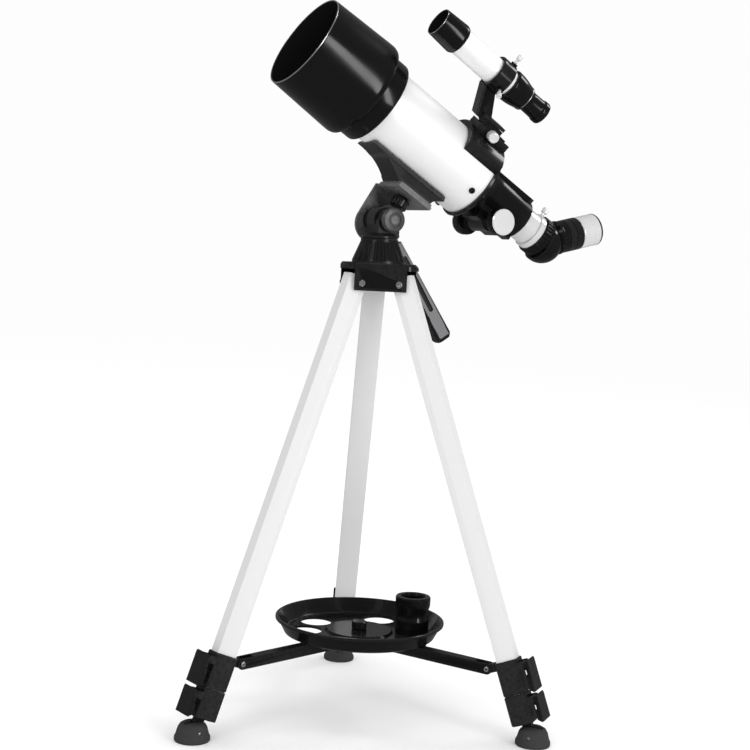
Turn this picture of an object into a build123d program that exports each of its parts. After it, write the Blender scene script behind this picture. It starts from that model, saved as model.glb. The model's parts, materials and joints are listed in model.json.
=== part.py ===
"""Small refractor telescope on a folding three-leg stand.

+Z is up and the floor is z = 0. The telescope looks towards -Y and up, and the tilt axis lies
along X. The origin is the middle of the whole object's footprint at floor level. Lengths are mm.
"""
import os
from math import atan2, cos, degrees, hypot, pi, radians, sin

from build123d import *

# Middle of the whole object's footprint, measured from the stand's axis
FOOTPRINT_X = -13.47
FOOTPRINT_Y = 28.72

# Telescope axis: the middle of the dew shield's mouth, and how far the tube is tilted up
MOUTH_Y = -91.0
MOUTH_Z = 652.4
TUBE_TILT = 31.5

# Main tube and objective, distances measured back along the tube from the dew shield's mouth
TUBE_R = 38.0
TUBE_WALL = 1.0
TUBE_FRONT = 86.0
TUBE_BACK = 224.0
CELL_R = 43.9
CELL_BACK = 95.5
SHIELD_BACK = 77.5
SHIELD_FRONT_R = 47.9
SHIELD_BACK_R = 50.8
CAP_BORE_R = 46.3
CAP_BORE_DEPTH = 10.0
LENS_R = 35.0
SLIDE_FIT = 0.06
SCREW_R = 1.4
SCREW_A = 214.5
SCREW_ANGLES = (120.0, 210.0, 300.0)
SADDLE_BOLTS = (158.0, 182.0)

# Focuser
BODY_BACK = 293.0
DRAWTUBE_R = 17.4
DRAWTUBE_BACK = 316.0
BARREL_R = 15.875
GEAR_MODULE = 0.8
PINION_TEETH = 12
RACK_PITCH_H = -20.5
RACK_TEETH = 26
SHAFT_A = 259.5
SHAFT_R = 2.0
KNOB_R = 13.6
KNOB_FLUTES = 24
DIAGONAL_A = 331.0
DIAGONAL_BEND = 45.0
HOLDER_END = 42.0

# Finder, turned about the tube so that it sits up and to one side
FINDER_TURN = 25.0
FINDER_H = 95.6
FINDER_R = 13.5
SHOE_FRONT = 181.0

# Head
TILT_Y = 5.0
TILT_Z = 491.0
PLATFORM_H = -55.6
PLATFORM_FRONT = 149.5
PLATFORM_BACK = 191.5
HANDLE_ROOT = (-22.0, 199.5, -94.0)
HANDLE_TIP = (-22.0, 299.8, -142.8)
HANDLE_ROOT_HALF = 4.75
HANDLE_TIP_HALF = 8.6
HANDLE_SWEEP_R = 35.8
HANDLE_GROOVE_START = 14.0
HANDLE_GROOVE_END = 78.0
HANDLE_GROOVE_WIDTH = 5.0
HANDLE_GROOVE_DEPTH = 1.6

# Stand
HUB_BOTTOM = 422.0
HUB_TOP = 449.0
HEAD_BASE_TOP = 472.0
LEG_PIVOT_R = 29.84
LEG_PIVOT_Z = 429.12
LEG_LEAN = 20.03
LEG_AZIMUTHS = {"left": 278.5, "right": 38.5, "back": 158.5}
LEG_OUTLINE = [(-9, -11), (-3, -11), (9, -6), (9, 6), (-3, 11), (-9, 11)]
LEG_WALL = 1.1
LEG_GAP = 0.45
UPPER_END = 388.0
CLAMP_TOP = 373.0
CLAMP_LENGTH = 33.0
LOWER_CLAMP_TOP = 406.6
LOWER_CLAMP_LENGTH = 28.4
LEVER_PIN_N = 13.7
LEVER_PIN_DROP = 7.5
PIN_R = 1.6
PIN_FIT = 0.05
ARM_OUTER_R = 137.5
ARM_OUTER_Z = 66.7
ARM_INNER_R = 24.0
ARM_INNER_Z = 74.0
FOOT_R = 186.3
FOOT_PIVOT_Z = 9.5

# Tray
TRAY_R = 82.6
TRAY_FLOOR_R = 72.0
TRAY_RIM_Z = 96.0
TRAY_FLOOR_Z = 82.0
TRAY_DISC_RISE = 2.2
TRAY_WALL = 2.4
TRAY_DISC_R = 33.0
TRAY_HOLE_R = 16.05
TRAY_HOLE_REACH = 53.0
TRAY_HOLE_AZIMUTHS = [70, 130, 208, 248, 328, 8]

SCOPE = Location((0, MOUTH_Y, MOUTH_Z), (-TUBE_TILT, 0, 0))
FINDER = SCOPE * Rot(0, FINDER_TURN, 0)
BACKWARD = Rot(-90, 0, 0)
SIDEWAYS = Rot(0, 90, 0)


# ---------------------------------------------------------------- helpers

def turned(*outline):
    """Solid of revolution about Z, from an outline of (radius, height) points."""
    return revolve(Plane.XZ * make_face(Polyline(*outline, close=True)), Axis.Z)


def along_tube(*outline):
    """Solid turned about the tube's axis (local Y), from (radius, distance back) points."""
    return BACKWARD * turned(*outline)


def rod(radius, start, end):
    """Cylinder on the Z axis between two heights."""
    return Pos(0, 0, (start + end) / 2) * Cylinder(radius, end - start)


def cross_rod(radius, x_start, x_end, y=0.0, z=0.0):
    """Cylinder along X at (y, z)."""
    return Pos(0, y, z) * SIDEWAYS * rod(radius, x_start, x_end)


def block(x, y, z):
    """Box between the given (low, high) pairs."""
    centre = [(pair[0] + pair[1]) / 2 for pair in (x, y, z)]
    return Pos(*centre) * Box(x[1] - x[0], y[1] - y[0], z[1] - z[0])


def ribs_cut(solid, count, radius, rib_r, start, end):
    """Cut lengthwise flutes round a turned solid on Z."""
    for index in range(count):
        solid -= Rot(0, 0, 360 * index / count) * Pos(radius, 0, 0) * rod(rib_r, start, end)
    return solid


def thumbscrew(shank_r, shank_end, head_r, head_start, head_end):
    """Knurled screw on Z: the shank from 0, then a fluted head."""
    screw = rod(shank_r, 0, head_start + 0.5)
    head = ribs_cut(rod(head_r, head_start, head_end), 10, head_r + 0.35, 0.8, head_start - 1, head_end + 1)
    return screw + head + rod(head_r * 0.6, head_end - 0.5, shank_end)


def knob_with_flutes(radius, start, end, count):
    """Round knob on Z with a chamfered edge and flutes."""
    knob = turned((0, start), (radius - 1, start), (radius, start + 1), (radius, end - 1),
                  (radius - 1, end), (0, end))
    return ribs_cut(knob, count, radius + 0.5, 1.0, start - 1, end + 1)


# ---------------------------------------------------------------- optical tube

def main_tube():
    inner = TUBE_R - TUBE_WALL
    tube = along_tube((inner, TUBE_FRONT), (TUBE_R, TUBE_FRONT), (TUBE_R, TUBE_BACK), (inner, TUBE_BACK))
    for angle in SCREW_ANGLES:
        tube -= Rot(0, angle, 0) * Pos(0, SCREW_A, 0) * rod(SCREW_R, 30, 45)
    for back in SADDLE_BOLTS:
        tube -= Pos(0, back, 0) * rod(1.9, -45, -30)
    return SCOPE * tube


def lens_cell():
    """Collar on the tube's front with the spigot that carries the dew shield, and the lens ring."""
    cell = along_tube((LENS_R - 2, 82), (LENS_R - 2, 84), (37, 84), (37, 85.9), (TUBE_R, 85.9),
                      (TUBE_R, CELL_BACK),
                      (CELL_R - 1.2, CELL_BACK), (CELL_R, CELL_BACK - 1.2), (CELL_R, SHIELD_BACK + 0.4),
                      (42.0, SHIELD_BACK + 0.4), (42.0, 62), (40.5, 61), (LENS_R + 0.1, 61),
                      (LENS_R + 0.1, 82))
    ring = along_tube((LENS_R - 2.5, 66), (LENS_R, 66), (LENS_R, 69.4), (LENS_R - 2.5, 69.4))
    return Compound([SCOPE * cell, SCOPE * ring])


def lens_element(radius, front, front_bulge, back, back_bulge):
    """One lens on the tube's axis: each face is a shallow parabola with the given bulge."""
    steps = [radius * index / 8 for index in range(9)]
    front_face = [(r, front - front_bulge * (1 - (r / radius) ** 2)) for r in steps]
    back_face = [(r, back + back_bulge * (1 - (r / radius) ** 2)) for r in reversed(steps)]
    return along_tube(*front_face, *back_face)


def objective_lens():
    """Convex crown in front and a weaker flint behind it."""
    crown = lens_element(LENS_R - 0.1, 72.6, 2.6, 75.4, 1.8)
    flint = lens_element(LENS_R - 0.1, 77.6, -1.9, 81.6, 0.6)
    return Compound([SCOPE * crown, SCOPE * flint])


def dew_shield():
    """Tapered hood with a rounded back edge; its inner collar slides on the lens cell."""
    grip = 42.0 + SLIDE_FIT
    shell = along_tube((CAP_BORE_R, 0), (SHIELD_FRONT_R - 0.3, 0), (SHIELD_FRONT_R, 0.6),
                       (SHIELD_BACK_R - 0.2, 66), (SHIELD_BACK_R, 71), (SHIELD_BACK_R - 0.8, 74.4),
                       (SHIELD_BACK_R - 2.6, 76.6), (SHIELD_BACK_R - 4.4, SHIELD_BACK), (grip, SHIELD_BACK),
                       (grip, 64), (SHIELD_BACK_R - 4, 64), (SHIELD_BACK_R - 2.2, 60),
                       (CAP_BORE_R, CAP_BORE_DEPTH))
    return SCOPE * shell


def tube_screws():
    """Two bolts of the saddle and three screws that hold the focuser in the tube."""
    solids = []
    for back in SADDLE_BOLTS:
        head = Pos(0, back, -TUBE_R + TUBE_WALL) * rod(4.0, 0.4, 2.6)
        shank = Pos(0, back, 0) * rod(1.9, -48, -TUBE_R + TUBE_WALL)
        solids.append(SCOPE * (head + shank))
    for angle in SCREW_ANGLES:
        screw = turned((0, 34.5), (SCREW_R, 34.5), (SCREW_R, TUBE_R), (3.2, TUBE_R), (3.2, 38.8),
                       (2.2, 40.2), (0, 40.6))
        screw -= rod(1.1, 39.4, 41)
        solids.append(SCOPE * Rot(0, angle, 0) * Pos(0, SCREW_A, 0) * screw)
    return Compound(solids)


def finder_shoe():
    """Curved pad over the tube's back end, with a dovetail slot on top, in the finder's frame."""
    pad = along_tube((TUBE_R + 0.1, SHOE_FRONT), (43.6, SHOE_FRONT), (44.6, SHOE_FRONT + 1), (44.6, 226),
                     (TUBE_R + 0.1, 226))
    pad &= block((-31, 31), (SHOE_FRONT, 226), (20, 46))
    top = block((-13, 13), (SHOE_FRONT + 4, 225), (42, 50.5))
    slot = block((-8.4, 8.4), (SHOE_FRONT + 7, 230), (45.6, 48.2)) + block((-6.4, 6.4),
                                                                           (SHOE_FRONT + 7, 230), (47, 52))
    hole = cross_rod(2.0, 5, 20, 200, 48.4)
    return pad + top - slot - hole


def focuser_body():
    """Flange, tapered housing, stiffening rail, pinion house and the finder's shoe."""
    bore = DRAWTUBE_R + SLIDE_FIT
    body = along_tube((35.6, 206), (36.9, 206), (36.9, TUBE_BACK + 0.1), (40.2, TUBE_BACK + 0.1),
                      (40.6, 226.5),
                      (39.6, 228.5), (33, 231), (27.6, 235), (25.0, 241), (24.0, 248),
                      (21.6, BODY_BACK - 1),
                      (20.8, BODY_BACK), (bore, BODY_BACK), (bore, 246), (23, 240), (35.6, 226))
    rail = Rot(0, 20, 0) * (block((-9, 9), (233, 283), (10, 25.6)) + Pos(0, 283, 0) * rod(9, 10, 25.6))
    rail -= along_tube((0, 225), (22, 225), (22, 300), (0, 300))
    house = block((-14, 14), (243, 277), (-30, -14)) + cross_rod(9.5, -14, 14, SHAFT_A, shaft_h())
    rack_cover = block((-6.5, 6.5), (270, BODY_BACK - 0.6), (-24.6, -14))
    house = house + rack_cover - along_tube((0, 225), (20.6, 225), (20.6, 300), (0, 300))
    body += rail + house
    body -= block((-3.6, 3.6), (225, BODY_BACK + 5), (RACK_PITCH_H - 1.6, -10))
    body -= cross_rod(pinion_tip_r() + 0.5, -4.6, 4.6, SHAFT_A, shaft_h())
    body -= cross_rod(SHAFT_R + PIN_FIT, -20, 20, SHAFT_A, shaft_h())
    for angle in SCREW_ANGLES:
        body -= Rot(0, angle, 0) * Pos(0, SCREW_A, 0) * rod(SCREW_R, 30, 38)
    return SCOPE * (body + Rot(0, FINDER_TURN, 0) * finder_shoe())


# ---------------------------------------------------------------- focuser

def pitch_r():
    return GEAR_MODULE * PINION_TEETH / 2


def pinion_tip_r():
    return pitch_r() + 0.75 * GEAR_MODULE


def shaft_h():
    return RACK_PITCH_H - pitch_r()


def pinion():
    """Twelve straight-flanked teeth, a little thinner than the rack's spaces."""
    gear = cross_rod(pitch_r() - 0.95 * GEAR_MODULE, -4, 4)
    root_half = 0.46 * GEAR_MODULE * pi / 2 + 0.18
    tip_half = root_half - 0.42
    low = pitch_r() - 1.2 * GEAR_MODULE
    tooth = extrude(Plane.YZ * Polygon((-root_half, low), (root_half, low), (tip_half, pinion_tip_r()),
                                       (-tip_half, pinion_tip_r()), align=None), 4, both=True)
    for index in range(PINION_TEETH):
        gear += Rot(360 * index / PINION_TEETH, 0, 0) * tooth
    return gear


def focus_shaft():
    """Shaft with its pinion and the bright end caps of the knobs."""
    shaft = cross_rod(SHAFT_R, -37, 37) + pinion()
    cap = turned((0, 38.1), (KNOB_R - 1.2, 38.1), (KNOB_R - 0.6, 38.7), (KNOB_R - 1.4, 39.6), (0, 40.0))
    caps = [SIDEWAYS * cap, Rot(0, -90, 0) * cap]
    place = SCOPE * Pos(0, SHAFT_A, shaft_h())
    return Compound([place * shaft] + [place * item for item in caps])


def focus_knobs():
    knob = knob_with_flutes(KNOB_R, 27.5, 38.1, KNOB_FLUTES) - rod(SHAFT_R, 20, 37)
    knob += turned((SHAFT_R, 24), (6, 24), (7, 27.6), (SHAFT_R, 27.6))
    place = SCOPE * Pos(0, SHAFT_A, shaft_h())
    return Compound([place * SIDEWAYS * knob, place * Rot(0, -90, 0) * knob])


def rack():
    """Toothed strip along the bottom of the drawtube; a tooth space stands over the pinion."""
    pitch = pi * GEAR_MODULE
    start = SHAFT_A - (RACK_TEETH / 2 + 0.5) * pitch
    strip = block((-3, 3), (start - 2, start + RACK_TEETH * pitch),
                  (RACK_PITCH_H + 0.95 * GEAR_MODULE, -DRAWTUBE_R + 0.3))
    half_root = 0.52
    half_tip = 0.3
    high = RACK_PITCH_H + 1.0 * GEAR_MODULE
    low = RACK_PITCH_H - 0.7 * GEAR_MODULE
    for index in range(RACK_TEETH):
        middle = start + index * pitch
        strip += extrude(Plane.YZ * Polygon((middle - half_root, high), (middle + half_root, high),
                                            (middle + half_tip, low), (middle - half_tip, low),
                                            align=None), 3, both=True)
    return strip


def drawtube():
    """Chrome tube with its rack and the end collar."""
    tube = along_tube((DRAWTUBE_R - 1.2, 220), (DRAWTUBE_R, 220), (DRAWTUBE_R, 309), (19.2, 310),
                      (19.2, DRAWTUBE_BACK),
                      (BARREL_R + SLIDE_FIT, DRAWTUBE_BACK), (BARREL_R + SLIDE_FIT, 290),
                      (DRAWTUBE_R - 1.2, 288))
    tube += rack() - along_tube((0, 215), (DRAWTUBE_R - 0.5, 215), (DRAWTUBE_R - 0.5, 330), (0, 330))
    tube -= Rot(0, 10, 0) * Pos(0, 313, 0) * rod(1.6, 10, 25)
    return SCOPE * tube


def drawtube_screw():
    """Thumbscrew through the end collar."""
    return SCOPE * Rot(0, 10, 0) * Pos(0, 313, 16.4) * thumbscrew(1.55, 12.5, 3.4, 6.2, 11.4)


def lock_ring():
    """Ribbed ring behind the collar."""
    ring = turned((BARREL_R + 0.1, 0), (20, 0), (21, 0.8), (21, 11.2), (20, 12), (BARREL_R + 0.1, 12))
    ring = ribs_cut(ring, 30, 21.3, 0.9, 1.2, 10.8)
    return SCOPE * Pos(0, DRAWTUBE_BACK + 0.3, 0) * BACKWARD * ring


def outlet_axis():
    """Frame at the diagonal's bend whose Z runs up the eyepiece."""
    return SCOPE * Pos(0, DIAGONAL_A, 0) * Rot(DIAGONAL_BEND - 90, 0, 0)


def diagonal_body():
    """Nose barrel, rounded prism housing and the grooved eyepiece holder."""
    to_bend = SCOPE * Pos(0, DIAGONAL_A, 0)
    nose = to_bend * BACKWARD * turned((13.4, -37), (BARREL_R, -37), (BARREL_R, -2), (13.4, -2))
    neck = to_bend * BACKWARD * rod(18.6, -2.2, 3)
    belly = to_bend * Pos(0, 0, -2.2) * Sphere(21.4)
    belly &= to_bend * block((-19, 19), (-2.2, 40), (-40, 40))
    holder = turned((0, 8), (10, 8), (17.6, 15.6), (17.6, 17.5), (16.9, 18.6), (16.9, HOLDER_END - 0.8),
                    (16.2, HOLDER_END), (0, HOLDER_END))
    for groove in (24.5, 33.0):
        holder -= turned((16.4, groove), (18, groove), (18, groove + 0.8), (16.4, groove + 0.8))
    body = nose + neck + belly + outlet_axis() * holder
    body -= outlet_axis() * rod(BARREL_R + SLIDE_FIT, 18, HOLDER_END + 5)
    body -= outlet_axis() * rod(13.4, 0, 20)
    body -= to_bend * BACKWARD * rod(13.4, -40, 0)
    body -= to_bend * Pos(0, 0, -1.5) * Sphere(16.6)
    return body


def diagonal_prism():
    """Erecting prism: a wedge whose two square faces look along the two axes."""
    side = 9.0
    outline = Polygon((-6, side), (-6, -side), (3, -side - 2), (11, 2), (3, side + 1), align=None)
    return SCOPE * Pos(0, DIAGONAL_A, -1) * extrude(Plane.YZ * outline, 8, both=True)


def eyepiece_body():
    """Barrel, bright sleeve with a dark rim step, and the glass at both ends."""
    shell = turned((13.6, 21), (BARREL_R, 21), (BARREL_R, HOLDER_END + 0.3), (16.2, HOLDER_END + 0.3),
                   (16.7, HOLDER_END + 1), (16.7, 64.5), (15.9, 66), (11.5, 66), (11.0, 62.5), (13.6, 58))
    field = turned((0, 24), (13.6, 25), (13.6, 28), (0, 30))
    eye = turned((0, 61.6), (11.2, 60.6), (12.1, 59), (0, 57))
    return Compound([outlet_axis() * item for item in (shell, field, eye)])


# ---------------------------------------------------------------- finder

def finder_tube():
    centre = Pos(0, 0, FINDER_H)
    tube = along_tube((FINDER_R - 1, 114), (FINDER_R, 114), (FINDER_R, 184), (FINDER_R - 1, 184))
    return FINDER * centre * tube


def finder_hood():
    """Flared hood that fits over the finder's front."""
    hood = along_tube((13.4, 88), (14.3, 88), (15.6, 112), (15.6, 114.5), (14.4, 117.2), (FINDER_R, 117.2),
                      (FINDER_R, 113.9), (12.6, 113.9), (12.6, 110), (13.6, 108))
    return FINDER * Pos(0, 0, FINDER_H) * hood


def finder_lens():
    return FINDER * Pos(0, 0, FINDER_H) * lens_element(12.5, 111.0, 1.0, 113.6, 0.8)


def finder_eyepiece():
    """Tapered back housing, neck and eyecup, with a lens inside the cup."""
    shell = along_tube((FINDER_R - 1.1 - SLIDE_FIT, 176), (FINDER_R - 1 - SLIDE_FIT, 176),
                       (FINDER_R - 1 - SLIDE_FIT, 184.4),
                       (16.0, 184.4), (16.3, 186), (15.6, 196), (13.0, 206.5), (12.9, 209.5),
                       (11.2, 210.5), (10.7, 213),
                       (10.9, 226), (11.8, 228), (11.8, 232.6), (11.2, 234), (8.2, 234), (7.2, 231.5),
                       (7.2, 200),
                       (11.2, 190), (11.2, 176))
    glass = along_tube((0, 224), (7.2, 225), (7.2, 228), (0, 229))
    place = FINDER * Pos(0, 0, FINDER_H)
    return Compound([place * shell, place * glass])


FINDER_SCREW_ANGLES = (0.0, 122.0, 238.0)
FINDER_SCREW_A = 176.0


def finder_bracket():
    """Ring round the finder, a swept stem and the foot that fits the shoe's slot."""
    ring = along_tube((14.5, 163), (16.2, 163), (16.9, 164), (16.9, 179.2), (16.2, 180), (14.5, 180))
    for angle in FINDER_SCREW_ANGLES:
        ring += Rot(0, angle, 0) * Pos(0, FINDER_SCREW_A, 0) * rod(3.4, 15.6, 19)
        ring -= Rot(0, angle, 0) * Pos(0, FINDER_SCREW_A, 0) * rod(1.5, 10, 25)
    ring = Pos(0, 0, FINDER_H) * ring
    side = make_face(Polyline((163.2, FINDER_H - 15), (180, FINDER_H - 15), (196, 58), (214, 56.4),
                              (214, 50.9),
                              (188.4, 50.9), (178, 56), close=True))
    stem = extrude(Plane.YZ * side, 3.2, both=True)
    shelf = block((-8.5, 8.5), (184, 212), (57.2, 60.4))
    face_plate = extrude(Plane.YZ * make_face(Polyline((162.6, FINDER_H - 15.4), (166, FINDER_H - 15.4),
                                                       (180.4, 53),
                                                       (177.4, 53), close=True)), 7.5, both=True)
    face_plate -= Pos(0, 0, FINDER_H) * along_tube((0, 150), (15.4, 150), (15.4, 200), (0, 200))
    foot = block((-8.1, 8.1), (189, 221), (45.9, 47.9)) + block((-6.1, 6.1), (189, 221), (47.4, 52))
    return FINDER * (ring + stem + shelf + face_plate + foot)


def finder_screws():
    """Three thumbscrews that point the finder, their tips on the tube."""
    solids = []
    for angle in FINDER_SCREW_ANGLES:
        screw = Rot(0, angle, 0) * Pos(0, FINDER_SCREW_A, FINDER_R + 0.02) * thumbscrew(1.5, 15, 2.6, 9.4,
                                                                                        14.2)
        solids.append(FINDER * Pos(0, 0, FINDER_H) * screw)
    return Compound(solids)


def shoe_screw():
    """Thumbscrew through the side of the shoe, against the finder's foot."""
    return FINDER * Pos(8.3, 200, 48.4) * SIDEWAYS * thumbscrew(1.95, 20, 5.4, 9.2, 18.4)


# ---------------------------------------------------------------- saddle and head

def saddle():
    """Cradle under the tube: its ends sweep down to a short flat foot."""
    outline = (Line((107, -36), (201, -36)) + Line((201, -36), (202.5, -40.5))
               + ThreePointArc((202.5, -40.5), (194.5, -45.4), (190.5, -53)) + Line((190.5, -53),
                                                                                    (150, -53))
               + ThreePointArc((150, -53), (136, -44.6), (106, -39)) + Line((106, -39), (107, -36)))
    side = extrude(Plane.YZ * make_face(outline), 17, both=True)
    side -= along_tube((0, 90), (TUBE_R, 90), (TUBE_R, 220), (0, 220))
    for x in (-1, 1):
        side -= Pos(x * 18.4, 0, 0) * block((-2.6, 2.6), (100, 210), (-49.5, -40.5))
    for back in SADDLE_BOLTS:
        side -= Pos(0, back, 0) * rod(1.9, -60, -30)
        side -= Pos(0, back, 0) * rod(3.6, -60, -48)
    side -= Pos(0, 170, 0) * rod(3.25, -54, -43)
    return SCOPE * side


def platform():
    """Tilting L-bracket with its pad, tilt axle and round end cap."""
    plate = block((-24.3, 23), (PLATFORM_FRONT, PLATFORM_BACK), (PLATFORM_H - 3, PLATFORM_H))
    cheek = block((-27.6, -24.2), (149, 186), (-91, PLATFORM_H)) + cross_rod(18.5, -27.6, -24.2, 167.5, -91)
    lug = block((-27.6, -16.6), (181, 196.5), (-99, -86.5))
    plate += cheek + lug
    plate += block((-27.0, -24.2), (149, 186), (-62, PLATFORM_H))
    plate -= Pos(0, 170, 0) * rod(3.4, -70, -50)
    pad = block((-22, 22), (PLATFORM_FRONT + 0.8, PLATFORM_BACK - 0.8), (PLATFORM_H, -53))
    pad -= Pos(0, 170, 0) * rod(3.4, -70, -50)
    plate -= handle_plane() * rod(3.0 + PIN_FIT, -20, 5)
    axle_a, axle_h = tilt_axis()
    plate -= cross_rod(4.0, -40, 0, axle_a, axle_h)
    axle = cross_rod(4.0, -27.6, 20, axle_a, axle_h)
    cap = Pos(0, axle_a, axle_h) * SIDEWAYS * turned((4, 14.3), (11.4, 14.3), (12, 15), (12, 18),
                                                     (10.6, 19.6), (7, 20.2),
                                                     (6.4, 19.2), (4, 19.2))
    return Compound([SCOPE * item for item in (plate, pad, axle, cap)])


def tilt_axis():
    """Tilt axis in the telescope's frame: distance back and height."""
    dy = TILT_Y - MOUTH_Y
    dz = TILT_Z - MOUTH_Z
    tilt = radians(TUBE_TILT)
    return dy * cos(tilt) - dz * sin(tilt), dy * sin(tilt) + dz * cos(tilt)


def platform_screw():
    """Captive screw under the platform that holds the saddle."""
    knob = knob_with_flutes(9.0, -70, -60.2, 18) + rod(4.6, -60.4, -59.1)
    return SCOPE * Pos(0, 170, 0) * (knob + rod(3.17, -60, -44))


def tilt_body():
    """Turning casting: spigot, round foot, column and the barrel round the tilt axle."""
    body = rod(6.0, 455, 474)
    body += turned((0, HEAD_BASE_TOP + 0.3), (16.6, HEAD_BASE_TOP + 0.3), (17.4, HEAD_BASE_TOP + 1.2),
                   (17.4, 475), (15, 478), (0, 478))
    body += block((-14, 12), (-8, 15), (474, TILT_Z))
    body += cross_rod(12.0, -23.8, 14.0, TILT_Y, TILT_Z)
    body += cross_rod(14.2, -12, 4, TILT_Y, TILT_Z)
    body -= cross_rod(4.0 + PIN_FIT, -30, 20, TILT_Y, TILT_Z)
    return body


def head_base():
    """Ribbed cone on the hub with the bearing for the turning casting."""
    cone = turned((6.0 + PIN_FIT, HUB_TOP), (26, HUB_TOP), (26, HUB_TOP + 2), (18.4, HEAD_BASE_TOP - 2.4),
                  (18.4, HEAD_BASE_TOP),
                  (6.0 + PIN_FIT, HEAD_BASE_TOP))
    for index in range(20):
        flute = Pos(25.6, 0, HUB_TOP + 2.2) * Rot(0, -19.8, 0) * rod(1.5, 0, 19)
        cone -= Rot(0, 0, 18 * index) * flute
    return cone


def pan_handle():
    """Tapered lever with a long recess in its outer side face and the rod it turns on."""
    plane = handle_plane()
    length = (Vector(*HANDLE_TIP) - Vector(*HANDLE_ROOT)).length
    flare = HANDLE_TIP_HALF - HANDLE_ROOT_HALF
    narrow = plane * RectangleRounded(2 * HANDLE_ROOT_HALF, 11, 2.5)
    wide = plane.offset(length - 4) * RectangleRounded(2 * HANDLE_TIP_HALF, 18.4, 4)
    tip = plane.offset(length) * RectangleRounded(14, 15, 4)
    grip = loft(Sketch() + [narrow, wide]) + loft(Sketch() + [wide, tip])
    reach = (HANDLE_GROOVE_START + HANDLE_GROOVE_END) / 2
    middle = plane * Pos(HANDLE_ROOT_HALF + flare * reach / (length - 4), 0, reach)
    outline = SlotOverall(HANDLE_GROOVE_END - HANDLE_GROOVE_START, HANDLE_GROOVE_WIDTH)
    groove = Rot(90, 0, 0) * extrude(Plane.YZ * outline, HANDLE_GROOVE_DEPTH, both=True)
    recess = middle * Rot(0, degrees(atan2(flare, length - 4)), 0) * groove
    pin = plane * rod(3.0, -6, 12)
    grip -= recess
    return SCOPE * (grip + pin)


def handle_plane():
    """Plane at the handle's root whose Z runs down the handle."""
    start = Vector(*HANDLE_ROOT)
    return Plane(origin=start, x_dir=(1, 0, 0), z_dir=(Vector(*HANDLE_TIP) - start).normalized())


# ---------------------------------------------------------------- stand

def tripod_hub():
    """Rounded three-cornered casting with a slot for each leg; its corners let the handle swing past."""
    corners = [Rot(0, 0, azimuth) * Pos(28.0, 0, 0) * Circle(14.0) for azimuth in LEG_AZIMUTHS.values()]
    hub = Pos(0, 0, HUB_BOTTOM) * extrude(make_hull((Sketch() + corners).edges()), HUB_TOP - HUB_BOTTOM)
    hub = chamfer(hub.edges().group_by(Axis.Z)[-1], 1.2)
    hub -= turned((HANDLE_SWEEP_R, HUB_TOP + 1), (60, HUB_TOP + 1), (60, HUB_TOP - 5.6), (43, HUB_TOP - 5.6))
    for azimuth in LEG_AZIMUTHS.values():
        turn = Rot(0, 0, azimuth)
        hub -= turn * block((16.5, 60), (-11.5, 11.5), (HUB_BOTTOM - 1, 442.5))
        hub -= turn * Pos(LEG_PIVOT_R, 0, LEG_PIVOT_Z) * Rot(90, 0, 0) * Cylinder(2.6, 60)
        for side in (-1, 1):
            hub -= turn * Pos(LEG_PIVOT_R, side * 20.1, LEG_PIVOT_Z) * Rot(90, 0, 0) * Cylinder(3.8, 8)
    return hub - rod(6.4, HUB_TOP - 5, HUB_TOP + 1)


def hub_rivets():
    """One hollow rivet through each leg's top."""
    solids = []
    for azimuth in LEG_AZIMUTHS.values():
        pin = rod(2.6, -16.1, 16.1)
        for side in (0, 180):
            pin += Rot(side, 0, 0) * turned((0, 16.1), (3.5, 16.1), (3.4, 16.9), (2.6, 17.5), (0, 17.5))
            pin -= Rot(side, 0, 0) * rod(1.5, 15.6, 20)
        solids.append(Rot(0, 0, azimuth) * Pos(LEG_PIVOT_R, 0, LEG_PIVOT_Z) * Rot(90, 0, 0) * pin)
    return Compound(solids)


def leg_place(azimuth):
    """Frame at a leg's pivot: X outwards from the leg, Z up along it."""
    return Rot(0, 0, azimuth) * Pos(LEG_PIVOT_R, 0, LEG_PIVOT_Z) * Rot(0, -LEG_LEAN, 0)


def leg_bar(inset, top, bottom):
    """Solid bar of the leg's section, shrunk by inset, between two distances down the leg."""
    face = Polygon(*LEG_OUTLINE, align=None)
    if inset:
        face = offset(face, amount=-inset, kind=Kind.INTERSECTION)
    return Pos(0, 0, -bottom) * extrude(face, bottom - top)


def leg_tube(inset, top, bottom):
    return leg_bar(inset, top, bottom) - leg_bar(inset + LEG_WALL, top - 1, bottom + 1)


MIDDLE_INSET = LEG_WALL + LEG_GAP
LOWER_INSET = 2 * (LEG_WALL + LEG_GAP)


def leg_upper(azimuth):
    tube = leg_tube(0, -7, UPPER_END)
    tube -= Rot(90, 0, 0) * Cylinder(2.6 + PIN_FIT, 40)
    return leg_place(azimuth) * tube


def leg_middle(azimuth):
    return leg_place(azimuth) * leg_tube(MIDDLE_INSET, 50, 422)


def leg_lower(azimuth):
    """Inner tube with a plug at its end that carries the foot's pin."""
    pivot_out, pivot_down = foot_pivot()
    tube = leg_tube(LOWER_INSET, 64, 434)
    plug = leg_bar(LOWER_INSET + LEG_WALL, 420, 434)
    tongue = block((-4, 5.4), (-3.2, 3.2), (1 - pivot_down, -430))
    tongue += Pos(pivot_out, 0, -pivot_down) * Rot(90, 0, 0) * Cylinder(4.4, 6.4)
    tongue -= Pos(pivot_out, 0, -pivot_down) * Rot(90, 0, 0) * Cylinder(PIN_R + PIN_FIT, 20)
    return leg_place(azimuth) * (tube + plug + tongue)


def foot_pivot():
    """Foot's pin in the leg's frame: distance outwards from the leg and distance down it."""
    lean = radians(LEG_LEAN)
    out = FOOT_R - LEG_PIVOT_R
    drop = LEG_PIVOT_Z - FOOT_PIVOT_Z
    return out * cos(lean) - drop * sin(lean), out * sin(lean) + drop * cos(lean)


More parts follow.
